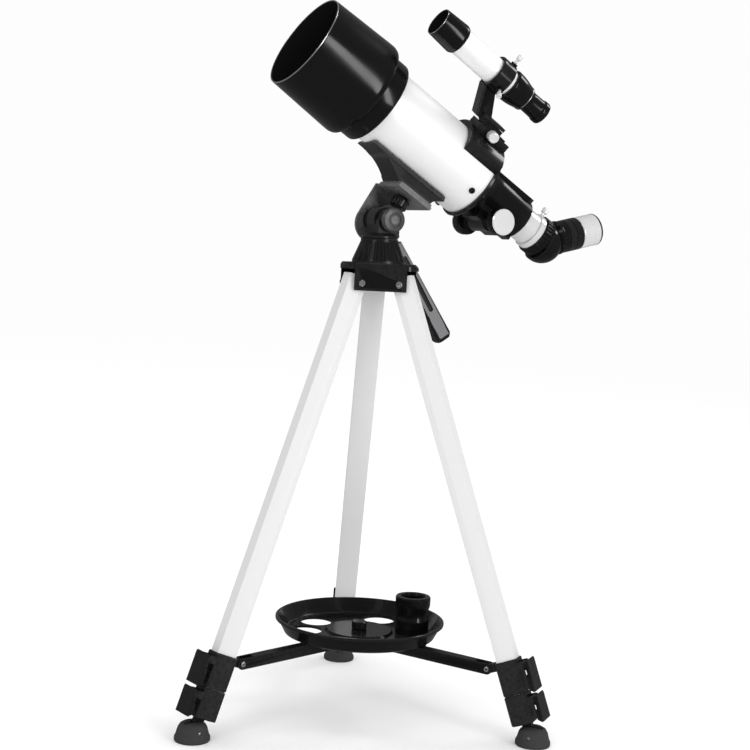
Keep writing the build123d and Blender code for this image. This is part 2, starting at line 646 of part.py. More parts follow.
def clamp(top, length, sleeve_end, sleeve_inset, bore_inset):
    """Leg clamp: a sleeve on the outer tube, a bore for the inner one, and ears for its lever."""
    bottom = top + length
    outline = Polygon((-11.2, -10.5), (-9.5, -12.8), (-2.2, -12.8), (10.2, -7.8), (10.2, 7.8), (-2.2, 12.8),
                      (-9.5, 12.8), (-11.2, 10.5), align=None)
    body = Pos(0, 0, -bottom) * extrude(outline, length)
    body = chamfer(body.edges().group_by(Axis.Z)[-1] + body.edges().group_by(Axis.Z)[0], 0.8)
    for side in (-1, 1):
        body += block((9.4, LEVER_PIN_N), (side * 7.4 - 1.3, side * 7.4 + 1.3), (-top - 11.1, -top - 3.9))
        body += Pos(LEVER_PIN_N, side * 7.4, -top - LEVER_PIN_DROP) * Rot(90, 0, 0) * Cylinder(3.6, 2.6)
    body -= leg_bar(sleeve_inset, top - 2, sleeve_end)
    body -= leg_bar(bore_inset - LEG_GAP + 0.05, top, bottom + 2)
    pin_place = Pos(LEVER_PIN_N, 0, -top - LEVER_PIN_DROP) * Rot(90, 0, 0)
    body -= pin_place * Cylinder(PIN_R, 40)
    pin = pin_place * Cylinder(PIN_R, 17.4)
    return body, pin


def upper_clamp(azimuth):
    """Clamp at the end of the upper leg, with the lug that the spreader arm joins."""
    body, pin = clamp(CLAMP_TOP, CLAMP_LENGTH, UPPER_END, 0, MIDDLE_INSET)
    place = leg_place(azimuth)
    lug = block((-26.5, -10.6), (-3.4, 3.4), (-CLAMP_TOP - 9, -CLAMP_TOP - 0.6))
    return Compound([place * (body + lug), place * pin])


def lower_clamp(azimuth):
    body, pin = clamp(LOWER_CLAMP_TOP, LOWER_CLAMP_LENGTH, 422, MIDDLE_INSET, LOWER_INSET)
    return Compound([leg_place(azimuth) * body, leg_place(azimuth) * pin])


def lever(azimuth, top, length):
    """Flip lever: a cam on the pin and a stepped thumb plate."""
    outline = Polygon((LEVER_PIN_N, -2.7), (18, -2.7), (18, 3.2), (21, 4.6), (21.8, 2.6), (21.8, 7.4 - length),
                      (19.8, 6.9 - length), (15.9, 9.8 - length), (16.6, -6), align=None)
    plate = extrude(Plane.XZ * outline, 10.2, both=True)
    plate -= block((10, 17.9), (-20, -5.9), (-9, 10)) + block((10, 17.9), (5.9, 20), (-9, 10))
    pin_place = Pos(LEVER_PIN_N, 0, 0) * Rot(90, 0, 0)
    body = plate + pin_place * Cylinder(3.0, 11.8) - pin_place * Cylinder(PIN_R + PIN_FIT, 40)
    return leg_place(azimuth) * Pos(0, 0, -top - LEVER_PIN_DROP) * body


def foot(azimuth):
    """Bell-shaped rubber foot with a slot for the leg's tongue and a pin through it."""
    bell = turned((0, 0), (16.2, 0), (16.8, 1), (16.8, 4), (15.6, 6), (14.8, 9), (13.8, 12.6), (12.0, 15.6),
                  (9.0, 17.4), (0, 18))
    slot = block((-14, 9.5), (-3.6, 3.6), (4.4, 40))
    pin_hole = Pos(0, 0, FOOT_PIVOT_Z) * Rot(90, 0, 0) * Cylinder(PIN_R, 60)
    pin = Pos(0, 0, FOOT_PIVOT_Z) * Rot(90, 0, 0) * Cylinder(PIN_R, 25)
    place = Rot(0, 0, azimuth) * Pos(FOOT_R, 0, 0)
    return Compound([place * (bell - slot - pin_hole), place * pin])


# ---------------------------------------------------------------- spreader and tray

def spreader_arm(azimuth):
    """Downward channel with its web cut back at both ends, and the rivets of its outer end."""
    reach = ARM_OUTER_R - ARM_INNER_R
    drop = ARM_INNER_Z - ARM_OUTER_Z
    length = hypot(reach, drop)
    channel = SlotCenterToCenter(length, 10.6)
    bar = Pos(length / 2, 0, 0) * Rot(90, 0, 0) * extrude(channel, 5.2, both=True)
    bar -= block((-10, length + 10), (-4.1, 4.1), (-10, 3.9))
    bar -= block((-10, 9), (-4.1, 4.1), (-10, 10)) + block((length - 12.5, length + 10), (-4.1, 4.1),
                                                           (-10, 10))
    bar -= Rot(90, 0, 0) * Cylinder(PIN_R + PIN_FIT, 30)
    rivets = []
    for side in (-1, 1):
        head = turned((0, 4.3), (1.6, 4.3), (1.6, 5.2), (2.6, 5.2), (2.4, 6.0), (0, 6.2))
        bar -= Pos(length, 0, 0) * Rot(side * 90, 0, 0) * rod(1.6, 3, 6)
        rivets.append(Pos(length, 0, 0) * Rot(side * 90, 0, 0) * head)
    place = Rot(0, 0, azimuth) * Pos(ARM_INNER_R, 0, ARM_INNER_Z) * Rot(0, degrees(atan2(drop, reach)), 0)
    return Compound([place * bar] + [place * item for item in rivets])


def spreader_hub():
    """Block under the tray with three thin lugs and the pins of the arms."""
    block_top = TRAY_FLOOR_Z + TRAY_DISC_RISE - TRAY_WALL - 0.1
    hub = turned((3.1, 66), (13, 66), (15, 68), (15, block_top), (3.1, block_top))
    pins = []
    for azimuth in LEG_AZIMUTHS.values():
        turn = Rot(0, 0, azimuth)
        lug = block((10, ARM_INNER_R), (-3.7, 3.7), (69.4, 78.6))
        lug += Pos(ARM_INNER_R, 0, ARM_INNER_Z) * Rot(90, 0, 0) * Cylinder(4.6, 7.4)
        hub += turn * lug
        hub -= turn * Pos(ARM_INNER_R, 0, ARM_INNER_Z) * Rot(90, 0, 0) * Cylinder(PIN_R, 30)
        pins.append(turn * Pos(ARM_INNER_R, 0, ARM_INNER_Z) * Rot(90, 0, 0) * Cylinder(PIN_R, 11.4))
    return Compound([hub] + pins)


def accessory_tray():
    """Round dish with a flared wall, a raised middle and holes for eyepiece barrels."""
    rise = TRAY_FLOOR_Z + TRAY_DISC_RISE
    dish = turned((3.4, rise - TRAY_WALL), (TRAY_DISC_R - 3, rise - TRAY_WALL),
                  (TRAY_DISC_R - 1, TRAY_FLOOR_Z - TRAY_WALL),
                  (TRAY_FLOOR_R, TRAY_FLOOR_Z - TRAY_WALL), (TRAY_FLOOR_R + 3, TRAY_FLOOR_Z - 1),
                  (TRAY_R - 1.2, TRAY_RIM_Z - 3),
                  (TRAY_R + 1.4, TRAY_RIM_Z - 2.4), (TRAY_R + 1.4, TRAY_RIM_Z - 0.6),
                  (TRAY_R + 0.6, TRAY_RIM_Z),
                  (TRAY_R - 1.6, TRAY_RIM_Z), (TRAY_FLOOR_R + 1, TRAY_FLOOR_Z + 1.2),
                  (TRAY_FLOOR_R - 1, TRAY_FLOOR_Z),
                  (TRAY_DISC_R + 1, TRAY_FLOOR_Z), (TRAY_DISC_R - 1, rise), (3.4, rise))
    for azimuth in TRAY_HOLE_AZIMUTHS:
        dish -= Rot(0, 0, azimuth) * Pos(TRAY_HOLE_REACH, 0, 0) * rod(TRAY_HOLE_R, 70, 90)
    return dish


def tray_knob():
    """Ribbed nut that holds the tray, with its screw."""
    rise = TRAY_FLOOR_Z + TRAY_DISC_RISE
    return knob_with_flutes(7.6, rise + 0.3, rise + 8, 16) + rod(3.05, 67, rise + 1)


def spare_eyepiece():
    """Eyepiece parked in a tray hole: barrel, waisted body and flared top with its lens."""
    low = TRAY_FLOOR_Z + 0.3
    shell = turned((13.5, low - 13), (BARREL_R, low - 13), (BARREL_R, low), (16.8, low), (17.0, low + 1),
                   (16.8, low + 12),
                   (15.6, low + 17), (15.6, low + 21), (17.4, low + 27), (17.6, low + 35),
                   (16.6, low + 36.4),
                   (12.4, low + 36.4), (11.2, low + 33), (13.5, low + 20))
    glass = turned((0, low + 31.8), (11.3, low + 31), (12.1, low + 29), (0, low + 28))
    place = Rot(0, 0, TRAY_HOLE_AZIMUTHS[0]) * Pos(TRAY_HOLE_REACH, 0, 0)
    return Compound([place * shell, place * glass])


# ---------------------------------------------------------------- all nodes

def all_nodes():
    nodes = {
        "tripod_hub": tripod_hub(),
        "hub_rivets": hub_rivets(),
        "head_base": head_base(),
        "tilt_body": tilt_body(),
        "platform": platform(),
        "platform_screw": platform_screw(),
        "pan_handle": pan_handle(),
        "saddle": saddle(),
        "tube_screws": tube_screws(),
        "main_tube": main_tube(),
        "lens_cell": lens_cell(),
        "objective_lens": objective_lens(),
        "dew_shield": dew_shield(),
        "focuser_body": focuser_body(),
        "drawtube": drawtube(),
        "drawtube_screw": drawtube_screw(),
        "lock_ring": lock_ring(),
        "focus_shaft": focus_shaft(),
        "focus_knobs": focus_knobs(),
        "diagonal_body": diagonal_body(),
        "diagonal_prism": diagonal_prism(),
        "eyepiece_body": eyepiece_body(),
        "finder_bracket": finder_bracket(),
        "finder_tube": finder_tube(),
        "finder_hood": finder_hood(),
        "finder_lens": finder_lens(),
        "finder_screws": finder_screws(),
        "finder_eyepiece": finder_eyepiece(),
        "shoe_screw": shoe_screw(),
        "spreader_hub": spreader_hub(),
        "accessory_tray": accessory_tray(),
        "tray_knob": tray_knob(),
        "spare_eyepiece": spare_eyepiece(),
    }
    for side, azimuth in LEG_AZIMUTHS.items():
        nodes[side + "_leg_upper"] = leg_upper(azimuth)
        nodes[side + "_upper_clamp"] = upper_clamp(azimuth)
        nodes[side + "_upper_lever"] = lever(azimuth, CLAMP_TOP, CLAMP_LENGTH)
        nodes[side + "_leg_middle"] = leg_middle(azimuth)
        nodes[side + "_lower_clamp"] = lower_clamp(azimuth)
        nodes[side + "_lower_lever"] = lever(azimuth, LOWER_CLAMP_TOP, LOWER_CLAMP_LENGTH)
        nodes[side + "_leg_lower"] = leg_lower(azimuth)
        nodes[side + "_foot"] = foot(azimuth)
        nodes[side + "_spreader_arm"] = spreader_arm(azimuth)
    return nodes


os.makedirs("parts", exist_ok=True)
for name, shape in all_nodes().items():
    export_step(Pos(-FOOTPRINT_X, -FOOTPRINT_Y, 0) * shape, "parts/" + name + ".step")
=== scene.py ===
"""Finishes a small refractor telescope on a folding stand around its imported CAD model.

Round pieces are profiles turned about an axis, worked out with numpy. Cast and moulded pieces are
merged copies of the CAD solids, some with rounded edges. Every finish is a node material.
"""

import json
import math

import bmesh
import bpy
import numpy as np
from mathutils import Matrix, Vector


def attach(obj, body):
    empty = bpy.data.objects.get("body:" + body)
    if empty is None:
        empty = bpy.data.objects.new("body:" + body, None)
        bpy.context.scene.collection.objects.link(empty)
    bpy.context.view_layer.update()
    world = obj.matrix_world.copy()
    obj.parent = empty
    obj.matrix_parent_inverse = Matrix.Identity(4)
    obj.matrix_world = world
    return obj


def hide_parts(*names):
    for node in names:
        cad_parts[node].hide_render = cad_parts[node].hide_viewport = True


bl_info = {
    "name": "Telescope on tripod",
    "version": (1, 0, 0),
    "blender": (4, 5, 0),
    "location": "3D View > Sidebar > Telescope",
    "description": "Builds the visible surfaces of a telescope on a folding stand",
    "category": "Add Mesh",
}

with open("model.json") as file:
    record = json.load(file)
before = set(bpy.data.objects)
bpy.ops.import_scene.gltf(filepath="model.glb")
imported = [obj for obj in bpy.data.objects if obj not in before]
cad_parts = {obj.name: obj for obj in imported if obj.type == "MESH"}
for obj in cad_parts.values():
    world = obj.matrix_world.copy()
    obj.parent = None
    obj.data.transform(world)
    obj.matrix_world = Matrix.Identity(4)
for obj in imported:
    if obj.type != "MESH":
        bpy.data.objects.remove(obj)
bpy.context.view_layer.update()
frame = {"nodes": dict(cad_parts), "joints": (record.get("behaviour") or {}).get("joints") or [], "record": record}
JOINTS = {joint["name"]: joint for joint in frame["joints"]}
BODIES = frame["record"]["behaviour"]["bodies"]
NODE_BODY = {node: body for body, nodes in BODIES.items() for node in nodes}
MM = 0.001
SIDES = ("left", "right", "back")
AXIS_X = np.array((1.0, 0.0, 0.0))
AXIS_Z = np.array((0.0, 0.0, 1.0))


# ---------------------------------------------------------------- places, from the CAD's joints

def unit(vector):
    return np.asarray(vector, float) / np.linalg.norm(vector)


def joint_axis(name):
    return unit(JOINTS[name]["axis"])


def joint_place(name):
    return np.array(JOINTS[name]["pos_m"], float)


def turning_frame(origin, axis, side):
    """Columns are a side direction, the one square to it, and the axis; the origin goes with them."""
    along = unit(axis)
    across = unit(side - np.dot(side, along) * along)
    return np.column_stack((across, np.cross(along, across), along)), np.asarray(origin, float)


BACK = joint_axis("focus_travel")
UP = np.cross(AXIS_X, BACK)
# The lock ring's joint lies on the tube's axis, 322 mm behind the dew shield's mouth
MOUTH = joint_place("lock_ring_turn") - 322 * MM * BACK
STAND = joint_place("pan") * np.array((1, 1, 0))
# The finder's joint lies on its own axis, 200 mm behind the mouth
FINDER_MOUTH = joint_place("finder_focus") - 200 * MM * BACK
FINDER_UP = unit(FINDER_MOUTH - MOUTH)
FINDER_SIDE = np.cross(BACK, FINDER_UP)


def tube_frame(back=0.0):
    return turning_frame(MOUTH + back * MM * BACK, BACK, AXIS_X)


def finder_frame(back=0.0):
    return turning_frame(FINDER_MOUTH + back * MM * BACK, BACK, FINDER_SIDE)


def outlet_frame():
    """Bend of the diagonal, with the axis up the eyepiece."""
    return turning_frame(MOUTH + 331 * MM * BACK, joint_axis("eyepiece_slide"), AXIS_X)


def radial_frame(centre, up, side, angle, back, radius):
    """Frame of a screw that stands out from a tube, at an angle from its top."""
    turn = math.radians(angle)
    out = math.cos(turn) * up + math.sin(turn) * side
    return turning_frame(centre + back * MM * BACK + radius * MM * out, out, BACK)


# ---------------------------------------------------------------- meshes

def rounded(profile, steps):
    """Each corner becomes a quadratic curve (1-t)^2 A + 2t(1-t) C + t^2 B, where C is the corner and
    A and B lie the given reach before and after it. Rows are (radius, height, reach, material)."""
    rows = np.asarray(profile, float)
    corner = rows[:, :2]
    before = np.roll(corner, 1, axis=0) - corner
    after = np.roll(corner, -1, axis=0) - corner
    length_before = np.linalg.norm(before, axis=1)
    length_after = np.linalg.norm(after, axis=1)
    reach = np.minimum(rows[:, 2], 0.45 * np.minimum(length_before, length_after))
    start = corner + before * (reach / length_before)[:, None]
    end = corner + after * (reach / length_after)[:, None]
    t = np.linspace(0, 1, steps)[None, :, None]
    curve = (1 - t) ** 2 * start[:, None] + 2 * t * (1 - t) * corner[:, None] + t ** 2 * end[:, None]
    return curve.reshape(-1, 2), np.repeat(rows[:, 3].astype(int), steps)


def grid_faces(rows, columns, offset):
    """Quads of a grid that closes on itself both ways."""
    i, j = np.meshgrid(np.arange(rows), np.arange(columns), indexing="ij")
    next_i = (i + 1) % rows
    next_j = (j + 1) % columns
    quads = np.stack((i * columns + j, next_i * columns + j, next_i * columns + next_j,
                      i * columns + next_j), -1)
    return quads.reshape(-1, 4) + offset


def to_object(name, points, faces, indices, materials, smooth_angle=38.0):
    """Merged mesh object with outward faces, smooth except along its sharp edges."""
    mesh = bpy.data.meshes.new(name)
    mesh.from_pydata(points.tolist(), [], faces.tolist())
    mesh.polygons.foreach_set("material_index", np.asarray(indices, np.int32))
    model = bmesh.new()
    model.from_mesh(mesh)
    bmesh.ops.remove_doubles(model, verts=model.verts, dist=2e-6)
    bmesh.ops.dissolve_degenerate(model, edges=model.edges, dist=1e-6)
    bmesh.ops.recalc_face_normals(model, faces=model.faces)
    model.to_mesh(mesh)
    model.free()
    for material in materials:
        mesh.materials.append(material)
    mesh.polygons.foreach_set("use_smooth", np.ones(len(mesh.polygons), bool))
    mesh.set_sharp_from_angle(angle=math.radians(smooth_angle))
    piece = bpy.data.objects.new(name, mesh)
    bpy.context.scene.collection.objects.link(piece)
    return piece


def lathe(name, parts, materials, around=96, steps=4):
    """Profiles turned about an axis: side r cos(a) + square r sin(a) + axis h, in the part's frame.

    A part is (frame, profile, ripple). A ripple (count, depth, beyond) takes
    depth ((1 + cos(count a)) / 2)^2 off every radius that is larger than beyond.
    """
    points, faces, indices, offset = [], [], [], 0
    for (basis, origin), profile, ripple in parts:
        curve, material = rounded(profile, steps)
        count = ripple[0] * 8 if ripple else around
        angle = np.linspace(0, 2 * math.pi, count, endpoint=False)[None, :]
        radius = np.repeat(curve[:, :1], count, axis=1)
        if ripple:
            cut = ripple[1] * ((1 + np.cos(ripple[0] * angle)) / 2) ** 2
            radius = radius - np.where(radius > ripple[2], cut, 0.0)
        height = np.repeat(curve[:, 1:], count, axis=1)
        local = np.stack((radius * np.cos(angle), radius * np.sin(angle), height), -1).reshape(-1, 3) * MM
        points.append(local @ basis.T + origin)
        faces.append(grid_faces(len(curve), count, offset))
        indices.append(np.repeat(material, count))
        offset += len(curve) * count
    return to_object(name, np.vstack(points), np.vstack(faces), np.concatenate(indices), materials)


def ring(outer, inner, low, high, reach=0.3, material=0):
    """Profile of a plain ring, as rows for a lathe."""
    return [(inner, low, reach, material), (outer, low, reach, material), (outer, high, reach, material),
            (inner, high, reach, material)]


def thumbscrew(place, shank, head_r, start, end):
    """Shank and fluted head of a small screw, as parts for a lathe."""
    neck = [(0, 0.3, 0, 0), (shank, 0.3, 0.3, 0), (shank, start + 0.3, 0, 0), (0, start + 0.3, 0, 0)]
    head = [(0, start, 0, 0), (head_r * 0.8, start, 0.3, 0), (head_r, start + 0.7, 0.5, 0),
            (head_r, end - 0.7, 0.5, 0), (head_r * 0.8, end, 0.4, 0), (head_r * 0.5, end - 0.3, 0.2, 0),
            (0, end - 0.3, 0, 0)]
    return [(place, neck, None), (place, head, (14, 0.28, head_r * 0.9))]


def cad_copy(node, material, edge=0.0, smooth_angle=32.0, suffix="_finish"):
    """The CAD solid with its loose triangles merged into faces, and its edges rounded when an edge width is given.
    """
    source = frame["nodes"][node].data
    points = np.empty(len(source.vertices) * 3)
    source.vertices.foreach_get("co", points)
    corners = np.empty(len(source.loops), np.int64)
    source.loops.foreach_get("vertex_index", corners)
    unique, inverse = np.unique(np.round(points.reshape(-1, 3), 7), axis=0, return_inverse=True)
    triangles = inverse.ravel()[corners].reshape(-1, 3)
    whole = ((triangles[:, 0] != triangles[:, 1]) & (triangles[:, 1] != triangles[:, 2])
             & (triangles[:, 2] != triangles[:, 0]))
    mesh = bpy.data.meshes.new(node + suffix)
    mesh.from_pydata(unique.tolist(), [], triangles[whole].tolist())
    model = bmesh.new()
    model.from_mesh(mesh)
    bmesh.ops.dissolve_limit(model, angle_limit=math.radians(0.4), verts=model.verts, edges=model.edges)
    model.to_mesh(mesh)
    model.free()
    mesh.materials.append(material)
    mesh.polygons.foreach_set("use_smooth", np.ones(len(mesh.polygons), bool))
    mesh.set_sharp_from_angle(angle=math.radians(smooth_angle))
    piece = bpy.data.objects.new(node + suffix, mesh)
    bpy.context.scene.collection.objects.link(piece)
    if edge:
        bevel = piece.modifiers.new("rounded_edges", "BEVEL")
        bevel.width = edge * MM
        bevel.segments = 2
        bevel.limit_method = "ANGLE"
        bevel.angle_limit = math.radians(35)
    flatten = piece.modifiers.new("flat_faces_stay_flat", "WEIGHTED_NORMAL")
    flatten.keep_sharp = True
    return stand_for(piece, node)


def paint_beyond(piece, material, origin, direction, distance):
    """Faces whose centre lies further than the distance along the direction take a second material."""
    mesh = piece.data
    centres = np.empty(len(mesh.polygons) * 3)
    mesh.polygons.foreach_get("center", centres)
    along = (centres.reshape(-1, 3) - origin) @ direction
    mesh.materials.append(material)
    mesh.polygons.foreach_set("material_index", (along > distance).astype(np.int32))


def stand_for(piece, node, *more):
    """The piece takes the place of CAD nodes and moves with the first one's body."""
    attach(piece, NODE_BODY[node])
    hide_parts(node, *more)
    return piece


def trim(piece, body):
    """A small piece of trim that only rides on a body."""
    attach(piece, body)
    return piece


def dress(node, material):
    """Gives a carried-over CAD node its finish."""
    for slot in frame["nodes"][node].material_slots:
        slot.material = material


# ---------------------------------------------------------------- materials

def group_of(name, inputs, outputs):
    """New shader node group with named sockets, and its input and output nodes."""
    group = bpy.data.node_groups.new(name, "ShaderNodeTree")
    for socket, kind, default in inputs:
        made = group.interface.new_socket(socket, in_out="INPUT", socket_type=kind)
        made.default_value = default
    for socket, kind in outputs:
        group.interface.new_socket(socket, in_out="OUTPUT", socket_type=kind)
    return group, group.nodes.new("NodeGroupInput"), group.nodes.new("NodeGroupOutput")


def noise_node(group, scale, detail):
    noise = group.nodes.new("ShaderNodeTexNoise")
    noise.inputs["Scale"].default_value = scale
    noise.inputs["Detail"].default_value = detail
    return noise


def moulding_group():
    """Handling marks in the roughness and the fine texture of a moulded or sprayed surface."""
    group, given, result = group_of(
        "moulded_surface",
        [("Texture Scale", "NodeSocketFloat", 900.0), ("Patch Scale", "NodeSocketFloat", 25.0),
         ("Smooth Roughness", "NodeSocketFloat", 0.1), ("Rough Roughness", "NodeSocketFloat", 0.2)],
        [("Roughness", "NodeSocketFloat"), ("Height", "NodeSocketFloat")])
    place = group.nodes.new("ShaderNodeTexCoord")
    patches = noise_node(group, 25.0, 3.0)
    texture = noise_node(group, 900.0, 2.0)
    spread = group.nodes.new("ShaderNodeMapRange")
    spread.inputs["From Min"].default_value = 0.3
    spread.inputs["From Max"].default_value = 0.7
    link = group.links.new
    link(place.outputs["Object"], patches.inputs["Vector"])
    link(place.outputs["Object"], texture.inputs["Vector"])
    link(given.outputs["Patch Scale"], patches.inputs["Scale"])
    link(given.outputs["Texture Scale"], texture.inputs["Scale"])
    link(patches.outputs["Fac"], spread.inputs["Value"])
    link(given.outputs["Smooth Roughness"], spread.inputs["To Min"])
    link(given.outputs["Rough Roughness"], spread.inputs["To Max"])
    link(spread.outputs["Result"], result.inputs["Roughness"])
    link(texture.outputs["Fac"], result.inputs["Height"])
    return group


def dust_group():
    """Base colour with a little pale dust on faces that look upwards, in uneven patches."""
    group, given, result = group_of(
        "settled_dust",
        [("Color", "NodeSocketColor", (0.5, 0.5, 0.5, 1)),
         ("Dust Color", "NodeSocketColor", (0.5, 0.49, 0.47, 1)),
         ("Amount", "NodeSocketFloat", 0.05)],
        [("Color", "NodeSocketColor")])
    geometry = group.nodes.new("ShaderNodeNewGeometry")
    split = group.nodes.new("ShaderNodeSeparateXYZ")
    place = group.nodes.new("ShaderNodeTexCoord")
    patches = noise_node(group, 60.0, 5.0)
    upward = group.nodes.new("ShaderNodeMapRange")
    upward.inputs["From Min"].default_value = 0.2
    amount = group.nodes.new("ShaderNodeMath")
    amount.operation = "MULTIPLY"
    masked = group.nodes.new("ShaderNodeMath")
    masked.operation = "MULTIPLY"
    mix = group.nodes.new("ShaderNodeMix")
    mix.data_type = "RGBA"
    link = group.links.new
    link(geometry.outputs["Normal"], split.inputs["Vector"])
    link(split.outputs["Z"], upward.inputs["Value"])
    link(place.outputs["Object"], patches.inputs["Vector"])
    link(upward.outputs["Result"], amount.inputs[0])
    link(patches.outputs["Fac"], amount.inputs[1])
    link(amount.outputs[0], masked.inputs[0])
    link(given.outputs["Amount"], masked.inputs[1])
    link(masked.outputs[0], mix.inputs["Factor"])
    link(given.outputs["Color"], mix.inputs["A"])
    link(given.outputs["Dust Color"], mix.inputs["B"])
    link(mix.outputs["Result"], result.inputs["Color"])
    return group


def wear_group():
    """Mask that is bright on the outer edges, broken up by noise."""
    group, given, result = group_of(
        "edge_wear", [("Edge", "NodeSocketFloat", 0.53), ("Amount", "NodeSocketFloat", 0.3)],
        [("Mask", "NodeSocketFloat")])
    geometry = group.nodes.new("ShaderNodeNewGeometry")
    place = group.nodes.new("ShaderNodeTexCoord")
    speckle = noise_node(group, 300.0, 4.0)
    edge = group.nodes.new("ShaderNodeMapRange")
    edge.inputs["From Max"].default_value = 0.62
    broken = group.nodes.new("ShaderNodeMath")
    broken.operation = "MULTIPLY"
    amount = group.nodes.new("ShaderNodeMath")
    amount.operation = "MULTIPLY"
    link = group.links.new
    link(geometry.outputs["Pointiness"], edge.inputs["Value"])
    link(given.outputs["Edge"], edge.inputs["From Min"])
    link(place.outputs["Object"], speckle.inputs["Vector"])
    link(edge.outputs["Result"], broken.inputs[0])
    link(speckle.outputs["Fac"], broken.inputs[1])
    link(broken.outputs[0], amount.inputs[0])
    link(given.outputs["Amount"], amount.inputs[1])
    link(amount.outputs[0], result.inputs["Mask"])
    return group


GROUP_MAKERS = {"moulded_surface": moulding_group, "settled_dust": dust_group, "edge_wear": wear_group}


def group_node(tree, name):
    node = tree.nodes.new("ShaderNodeGroup")
    node.node_tree = bpy.data.node_groups.get(name) or GROUP_MAKERS[name]()
    return node


def finish(name, color, roughness, texture=(900.0, 0.02), metallic=0.0, coat=0.0, specular=0.5, dust=0.04,
           wear=0.25, wear_color=(0.3, 0.3, 0.3)):
    """Opaque finish. roughness is (polished, dull); texture is (scale, depth) of the surface relief."""
    material = bpy.data.materials.get(name)
    if material:
        return material
    material = bpy.data.materials.new(name)
    material.use_nodes = True
    tree = material.node_tree
    shader = tree.nodes["Principled BSDF"]
    shader.inputs["Metallic"].default_value = metallic
    shader.inputs["Coat Weight"].default_value = coat
    shader.inputs["Coat Roughness"].default_value = 0.04
    shader.inputs["Specular IOR Level"].default_value = specular
    surface = group_node(tree, "moulded_surface")
    surface.inputs["Texture Scale"].default_value = texture[0]
    surface.inputs["Smooth Roughness"].default_value = roughness[0]
    surface.inputs["Rough Roughness"].default_value = roughness[1]
    dusting = group_node(tree, "settled_dust")
    dusting.inputs["Amount"].default_value = dust
    edges = group_node(tree, "edge_wear")
    edges.inputs["Amount"].default_value = wear
    blend = tree.nodes.new("ShaderNodeMix")
    blend.data_type = "RGBA"
    blend.inputs["A"].default_value = (*color, 1)
    blend.inputs["B"].default_value = (*wear_color, 1)
    bump = tree.nodes.new("ShaderNodeBump")
    bump.inputs["Strength"].default_value = 0.25
    bump.inputs["Distance"].default_value = texture[1] * MM
    link = tree.links.new
    link(edges.outputs["Mask"], blend.inputs["Factor"])
    link(blend.outputs["Result"], dusting.inputs["Color"])
    link(dusting.outputs["Color"], shader.inputs["Base Color"])
    link(surface.outputs["Roughness"], shader.inputs["Roughness"])
    link(surface.outputs["Height"], bump.inputs["Height"])
    link(bump.outputs["Normal"], shader.inputs["Normal"])
    return material


def gloss_black():
    color = bpy.context.scene.telescope_colors.plastic
    return finish("gloss_black_plastic", color, (0.14, 0.22), (500.0, 0.015), coat=0.05, specular=0.26,
                  dust=0.004, wear=0.08)


def satin_black():
    return finish("satin_black_casting", (0.006, 0.006, 0.0065), (0.22, 0.34), (1400.0, 0.05),
                  specular=0.3, dust=0.006, wear=0.12)


def nylon_black():
    return finish("nylon_black", (0.004, 0.004, 0.0045), (0.2, 0.32), (1100.0, 0.05), specular=0.2,
                  dust=0.005, wear=0.1)


def inner_black():
    return finish("flat_black_lining", (0.006, 0.006, 0.006), (0.75, 0.9), (1800.0, 0.2), specular=0.2,
                  dust=0.0, wear=0.0)


# Lighter grey for the pan handle's outer face: a painted reflection of the light on that face, not the handle's
# own colour.
def handle_painted_reflection():
    return finish("handle_painted_reflection_grey", (0.16, 0.16, 0.165), (0.34, 0.46), (1400.0, 0.05), dust=0.01, wear=0.15)


def bracket_grey():
    return finish("grey_bracket_paint", (0.03, 0.03, 0.032), (0.26, 0.36), (1600.0, 0.05), dust=0.01,
                  wear=0.5,
                  wear_color=(0.35, 0.35, 0.35))


def white_enamel():
    color = bpy.context.scene.telescope_colors.tube
    return finish("white_enamel", color, (0.1, 0.18), (260.0, 0.03), coat=0.5, dust=0.02, wear=0.0)


def leg_white():
    color = bpy.context.scene.telescope_colors.legs
    return finish("white_leg_coating", color, (0.3, 0.42), (1500.0, 0.04), dust=0.02, wear=0.0)


def bright_chrome():
    return finish("bright_plating", (0.88, 0.88, 0.89), (0.12, 0.2), (1300.0, 0.008), metallic=0.45,
                  dust=0.0, wear=0.0)


def turned_steel():
    return finish("turned_steel", (0.74, 0.74, 0.75), (0.22, 0.34), (2200.0, 0.03), metallic=1.0,
                  dust=0.0, wear=0.1, wear_color=(0.9, 0.9, 0.9))


def foot_rubber():
    return finish("foot_rubber", (0.005, 0.005, 0.005), (0.35, 0.5), (1300.0, 0.1), specular=0.22,
                  dust=0.02, wear=0.1, wear_color=(0.08, 0.08, 0.08))


def coated_glass():
    """Clear glass with a faint coating tint that varies in soft patches."""
    material = bpy.data.materials.get("coated_glass")
    if material:
        return material
    material = bpy.data.materials.new("coated_glass")
    material.use_nodes = True
    tree = material.node_tree
    shader = tree.nodes["Principled BSDF"]
    shader.inputs["Transmission Weight"].default_value = 1.0
    shader.inputs["Roughness"].default_value = 0.02
    shader.inputs["IOR"].default_value = 1.52
    shader.inputs["Specular Tint"].default_value = (0.5, 0.7, 1.0, 1)
    surface = group_node(tree, "moulded_surface")
    surface.inputs["Texture Scale"].default_value = 40.0
    shade = tree.nodes.new("ShaderNodeMix")
    shade.data_type = "RGBA"
    shade.inputs["A"].default_value = (0.93, 0.97, 1.0, 1)
    shade.inputs["B"].default_value = (0.82, 0.92, 0.97, 1)
    tree.links.new(surface.outputs["Height"], shade.inputs["Factor"])
    tree.links.new(shade.outputs["Result"], shader.inputs["Base Color"])
    return material


# ---------------------------------------------------------------- settings

